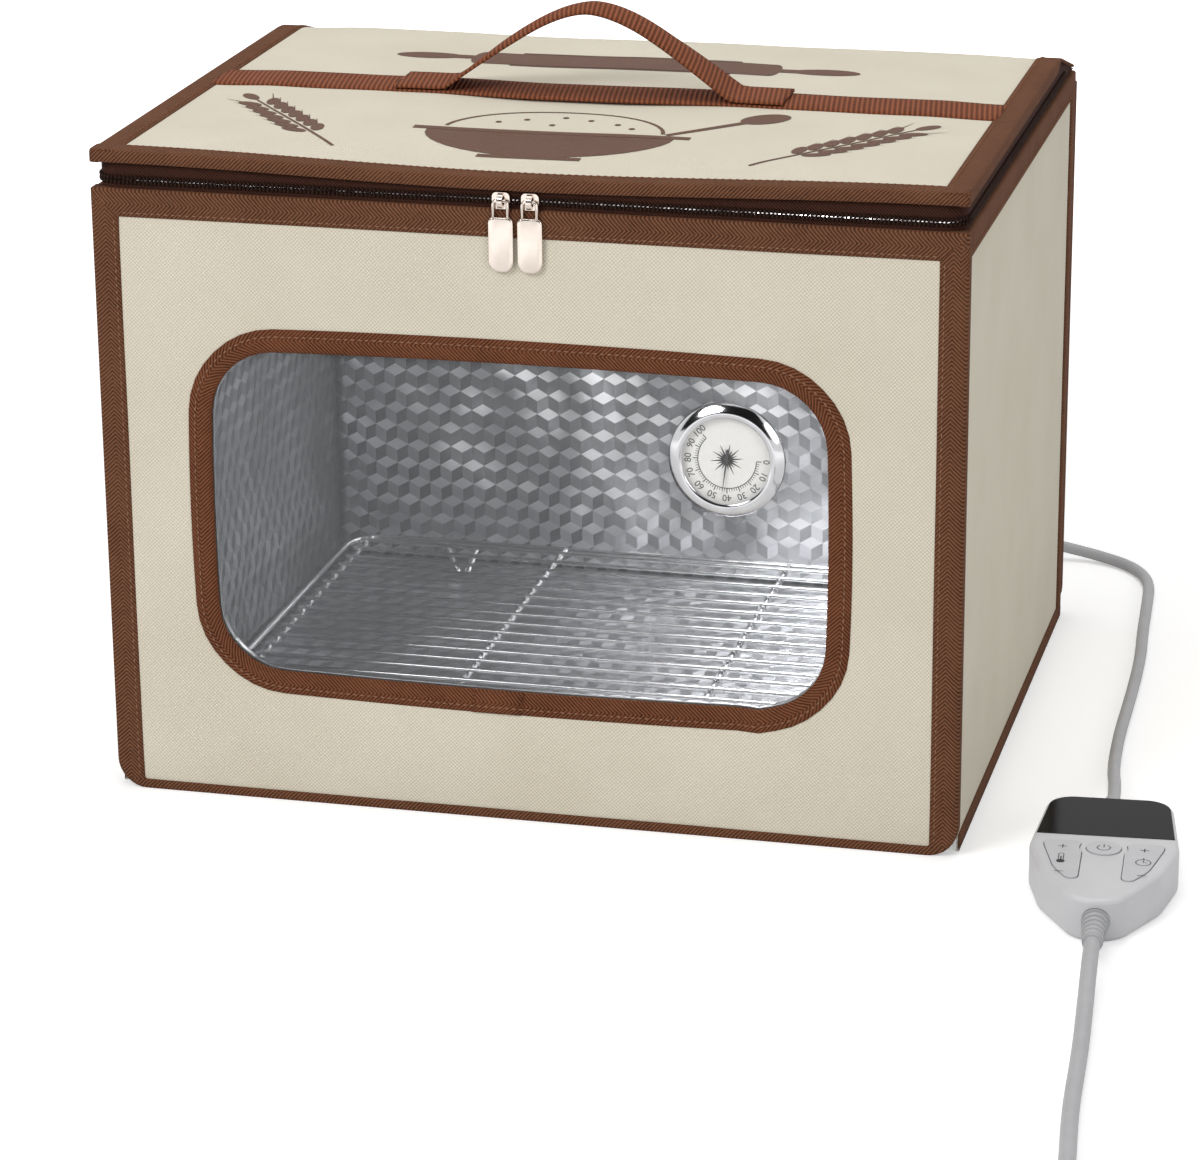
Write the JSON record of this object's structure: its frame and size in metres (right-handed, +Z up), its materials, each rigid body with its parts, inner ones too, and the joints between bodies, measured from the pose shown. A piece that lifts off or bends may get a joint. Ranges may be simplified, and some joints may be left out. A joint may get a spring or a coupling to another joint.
{
  "type": "folding dough proofer",
  "caption": "Fabric box that folds flat, with zipped lid, carry handle, clear window with humidity dial, wire rack, heated floor and a lead with hand controller.",
  "frame": {"origin": "on the floor, under the middle of the box between its front and back faces", "axes": "+X to the right seen from the front, +Y from the front to the back, +Z up"},
  "size_m": [0.504, 0.944, 0.3519],
  "materials": {
    "cover_fabric": "woven, matt",
    "binding": "herringbone tape, matt",
    "window_tape": "herringbone tape, matt",
    "hinge_stay": "plastic stay under tape, matt",
    "core": "stiffening board and foam",
    "foil": "foil-faced padding, half gloss",
    "film": "heating film",
    "window": "clear soft sheet",
    "zipper": "tape and coil, dark",
    "slider_metal": "polished",
    "webbing": "ribbed webbing",
    "wire": "bright wire",
    "dial_metal": "polished",
    "dial_clear": "clear",
    "dial_paper": "printed card",
    "needle": "black",
    "lead": "soft moulded",
    "controller": "moulded, half gloss",
    "display": "black, glossy",
    "keys": "soft moulded",
    "board": "circuit board",
    "blades": "stamped"
  },
  "bodies": {
    "box_base": {"back_cover": "cover_fabric", "back_core": "core", "back_liner": "foil", "back_binding": "binding", "side_covers": "cover_fabric", "side_cores": "core", "side_liners": "foil", "side_bindings": "binding", "side_zips": "zipper", "cord_grommet": "lead", "heater_lead": "lead", "controller_base": "controller", "controller_cover": "controller", "controller_display": "display", "controller_board": "board", "relief_upper": "lead", "relief_lower": "lead", "mains_lead": "lead", "mains_coil": "lead", "plug_body": "lead", "plug_blades": "blades"},
    "floor_rear": {"bottom_rear_cover": "cover_fabric", "bottom_rear_core": "core", "bottom_rear_film": "film", "bottom_rear_liner": "foil"},
    "floor_front": {"bottom_front_cover": "cover_fabric", "bottom_front_core": "core", "bottom_front_film": "film", "bottom_front_liner": "foil"},
    "front_panel": {"front_cover": "cover_fabric", "front_core": "core", "front_liner": "foil", "window_pane": "window", "window_binding": "window_tape", "front_binding": "binding", "front_zip": "zipper", "dial_case": "dial_metal", "dial_bezel": "dial_metal", "dial_lens": "dial_clear", "dial_card": "dial_paper"},
    "needle": {"dial_needle": "needle"},
    "slider_left": {"slider_left": "slider_metal"},
    "slider_right": {"slider_right": "slider_metal"},
    "pull_left": {"pull_left": "slider_metal"},
    "pull_right": {"pull_right": "slider_metal"},
    "hinge_spine": {"hinge_tape": "hinge_stay"},
    "lid": {"lid_cover": "cover_fabric", "lid_core": "core", "lid_liner": "foil", "lid_binding": "binding", "lid_zip": "zipper", "lid_strap": "webbing"},
    "handle": {"carry_handle": "webbing"},
    "rack": {"rack_frame": "wire", "rack_wires": "wire"},
    "power_button": {"power_button": "keys"},
    "temperature_rocker": {"temperature_rocker": "keys"},
    "time_rocker": {"time_rocker": "keys"}
  },
  "joints": [
    {"name": "floor_fold", "type": "hinge", "parent": "box_base", "child": "floor_rear", "pos_m": [0, 0.1632, 0.0067], "axis": [-1, 0, 0], "range_deg": [0, 78], "deforming": ["side_covers", "side_cores", "side_liners", "side_bindings", "side_zips"]},
    {"name": "floor_crease", "type": "hinge", "parent": "floor_rear", "child": "floor_front", "pos_m": [0, 0, 0], "axis": [1, 0, 0], "range_deg": [0, 156]},
    {"name": "front_fold", "type": "hinge", "parent": "floor_front", "child": "front_panel", "pos_m": [0, -0.1632, 0.0067], "axis": [-1, 0, 0], "range_deg": [0, 78]},
    {"name": "spine_turn", "type": "hinge", "parent": "box_base", "child": "hinge_spine", "pos_m": [0, 0.1662, 0.287], "axis": [-1, 0, 0], "range_deg": [0, 124.8]},
    {"name": "lid_open", "type": "hinge", "parent": "hinge_spine", "child": "lid", "pos_m": [0, 0.1662, 0.287], "axis": [-1, 0, 0], "range_deg": [0, 87]},
    {"name": "handle_lean", "type": "hinge", "parent": "lid", "child": "handle", "pos_m": [-0.005, -0.014, 0.3108], "axis": [1, 0, 0], "range_deg": [-35, 35]},
    {"name": "rack_lift", "type": "slide", "parent": "box_base", "child": "rack", "axis": [0, 0, 1], "range_m": [0, 0.545]},
    {"name": "zip_left", "type": "slide", "parent": "front_panel", "child": "slider_left", "axis": [-1, 0, 0], "range_m": [0, 0.175]},
    {"name": "zip_right", "type": "slide", "parent": "front_panel", "child": "slider_right", "axis": [1, 0, 0], "range_m": [0, 0.178]},
    {"name": "pull_left_swing", "type": "hinge", "parent": "slider_left", "child": "pull_left", "pos_m": [-0.00825, -0.1716, 0.2942], "axis": [-1, 0, 0], "range_deg": [0, 120]},
    {"name": "pull_right_swing", "type": "hinge", "parent": "slider_right", "child": "pull_right", "pos_m": [0.00505, -0.1716, 0.2942], "axis": [-1, 0, 0], "range_deg": [0, 120]},
    {"name": "needle_turn", "type": "hinge", "parent": "front_panel", "child": "needle", "pos_m": [0.0935, -0.1684, 0.181], "axis": [0, -1, 0], "range_deg": [-127.5, 97.5]},
    {"name": "power_press", "type": "slide", "parent": "box_base", "child": "power_button", "axis": [0, 0, -1], "range_m": [0, 0.0008], "stiffness_N_per_m": 1000},
    {"name": "temperature_rock", "type": "hinge", "parent": "box_base", "child": "temperature_rocker", "pos_m": [0.25222, -0.20828, 0.0169], "axis": [0.9973, 0.0732, 0], "range_deg": [-2.5, 2.5], "stiffness_Nm_per_rad": 0.3},
    {"name": "time_rock", "type": "hinge", "parent": "box_base", "child": "time_rocker", "pos_m": [0.28812, -0.20564, 0.0169], "axis": [0.9973, 0.0732, 0], "range_deg": [-2.5, 2.5], "stiffness_Nm_per_rad": 0.3}
  ],
  "couplings": [
    {"joint": "floor_crease", "follows": "floor_fold", "ratio": 2},
    {"joint": "front_fold", "follows": "floor_fold", "ratio": 1},
    {"joint": "spine_turn", "follows": "floor_fold", "ratio": 1.6},
    {"joint": "rack_lift", "follows": "floor_fold", "m_per_rad": 0.4}
  ]
}
